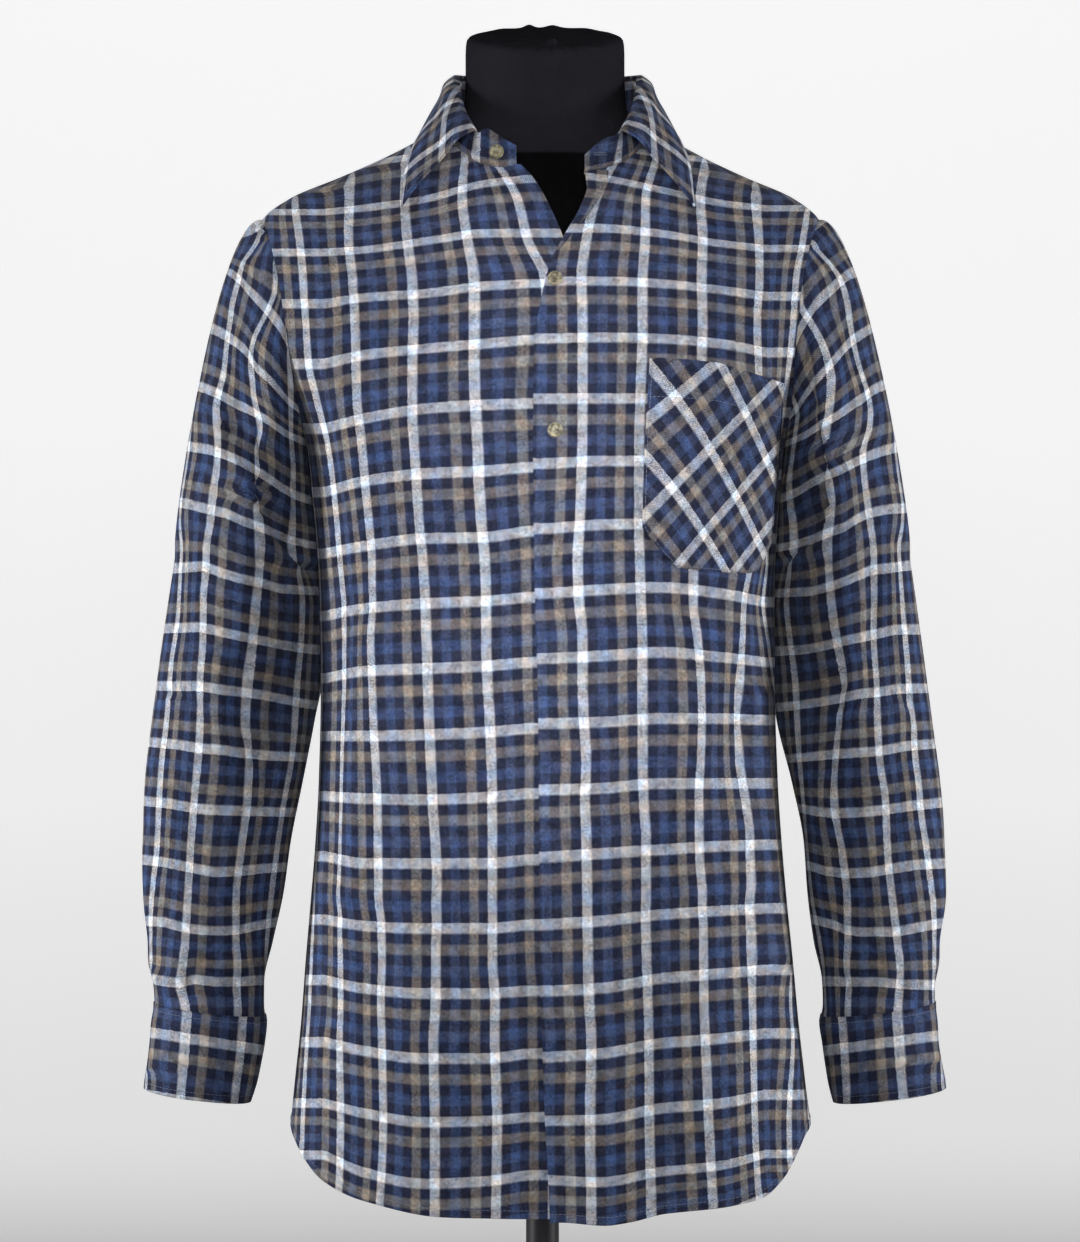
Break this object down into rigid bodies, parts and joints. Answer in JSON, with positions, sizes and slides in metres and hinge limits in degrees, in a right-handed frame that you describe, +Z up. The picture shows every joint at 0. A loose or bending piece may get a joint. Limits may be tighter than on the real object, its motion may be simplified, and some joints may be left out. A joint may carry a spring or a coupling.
{
  "type": "flannel shirt on a dress form",
  "caption": "Long-sleeved plaid flannel shirt, front buttons, turned-down collar, bias chest pocket, rounded tails, on a limbless dress form with a pole and a round base.",
  "frame": {"origin": "centre of the round base's underside, on the floor", "axes": "+Z up along the pole, -Y towards the front of the shirt, +X towards the wearer's left"},
  "size_m": [0.6395, 0.34, 1.5338],
  "materials": {
    "cloth": "brushed yarn-dyed twill flannel in a plaid of white, navy, blue and tan",
    "horn": "mottled cream and olive horn look, polished",
    "form_cover": "black stretch jersey, dull",
    "stand_metal": "black powder coat, satin"
  },
  "bodies": {
    "root": {"front_right": "cloth", "front_left": "cloth", "back": "cloth", "sleeve_right": "cloth", "sleeve_left": "cloth", "cuff_right": "cloth", "cuff_left": "cloth", "collar_leaf": "cloth", "collar_band": "cloth", "pocket": "cloth", "button_collar": "horn", "button_upper": "horn", "button_lower": "horn", "form_torso": "form_cover", "stand_pole": "stand_metal", "stand_flange": "stand_metal", "stand_plate": "stand_metal", "stand_base": "stand_metal"}
  },
  "joints": []
}
